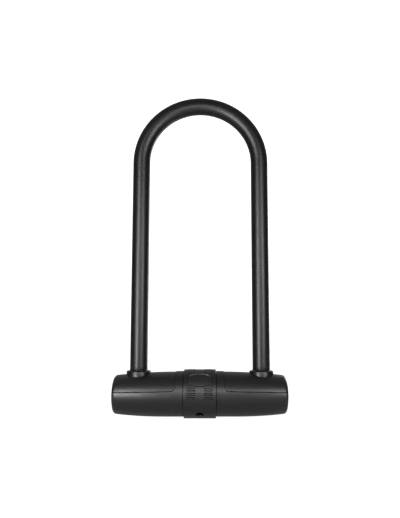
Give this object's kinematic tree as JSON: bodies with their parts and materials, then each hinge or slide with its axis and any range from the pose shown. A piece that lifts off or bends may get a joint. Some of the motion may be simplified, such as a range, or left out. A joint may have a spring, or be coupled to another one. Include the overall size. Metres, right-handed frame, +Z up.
{
  "type": "bicycle u lock",
  "caption": "Bicycle U lock: a vinyl covered steel shackle that drops into a crossbar, held by key-driven bolts behind a turning dust band.",
  "frame": {"origin": "middle of the crossbar, on its axis", "axes": "+X along the crossbar to the right, +Z up the shackle's legs, -Y towards the front, where the oval badge is"},
  "size_m": [0.17, 0.0465, 0.3201],
  "materials": {
    "hardened_steel": "satin, heat treated",
    "bright_steel": "machined",
    "zinc_screw": "zinc plated",
    "lock_brass": "turned",
    "guide_nylon": "natural",
    "seal_rubber": "matt",
    "sleeve_vinyl": "satin",
    "collar_vinyl": "satin",
    "cover_plastic": "fine grained",
    "panel_plastic": "fine grained",
    "cap_plastic": "fine grained",
    "badge_plastic": "smooth matt"
  },
  "bodies": {
    "crossbar": {"crossbar_tube": "hardened_steel", "cylinder_housing": "lock_brass", "keyway_seal": "seal_rubber", "housing_screw": "zinc_screw", "band_detent_ball": "bright_steel", "band_detent_spring": "bright_steel", "left_end_plug": "hardened_steel", "left_plug_pin": "bright_steel", "left_foot_guide": "guide_nylon", "left_bolt_guide": "guide_nylon", "left_shell": "cover_plastic", "left_top_panel": "panel_plastic", "left_collar": "collar_vinyl", "left_end_cap": "cap_plastic", "right_end_plug": "hardened_steel", "right_plug_pin": "bright_steel", "right_foot_guide": "guide_nylon", "right_bolt_guide": "guide_nylon", "right_shell": "cover_plastic", "right_top_panel": "panel_plastic", "right_collar": "collar_vinyl", "right_end_cap": "cap_plastic"},
    "shackle": {"shackle_bar": "hardened_steel", "shackle_sleeve": "sleeve_vinyl"},
    "lock_core": {"core_barrel": "lock_brass", "detainer_discs": "bright_steel", "disc_spacers": "bright_steel", "front_hardplate": "bright_steel", "drive_cam": "zinc_screw", "cam_screw": "zinc_screw"},
    "sidebar": {"sidebar": "bright_steel"},
    "left_bolt": {"left_bolt": "bright_steel"},
    "right_bolt": {"right_bolt": "bright_steel"},
    "dust_band": {"dust_band": "cover_plastic", "oval_badge": "badge_plastic"}
  },
  "joints": [
    {"name": "shackle_slide", "type": "slide", "parent": "crossbar", "child": "shackle", "axis": [0, 0, 1], "range_m": [0, 0.06]},
    {"name": "core_turn", "type": "hinge", "parent": "crossbar", "child": "lock_core", "pos_m": [0, 0, 0], "axis": [0, 0.6428, 0.766], "range_deg": [0, 90]},
    {"name": "sidebar_lift", "type": "slide", "parent": "lock_core", "child": "sidebar", "axis": [1, 0, 0], "range_m": [0, 0.0008]},
    {"name": "left_bolt_slide", "type": "slide", "parent": "crossbar", "child": "left_bolt", "axis": [-1, 0, 0], "range_m": [0, 0.00707]},
    {"name": "right_bolt_slide", "type": "slide", "parent": "crossbar", "child": "right_bolt", "axis": [1, 0, 0], "range_m": [0, 0.0071]},
    {"name": "dust_band_turn", "type": "hinge", "parent": "crossbar", "child": "dust_band", "pos_m": [0, 0, 0], "axis": [-1, 0, 0], "range_deg": [0, 60]}
  ],
  "couplings": [
    {"joint": "core_turn", "follows": "left_bolt_slide", "rad_per_m": 222.14},
    {"joint": "right_bolt_slide", "follows": "left_bolt_slide", "ratio": 1}
  ]
}
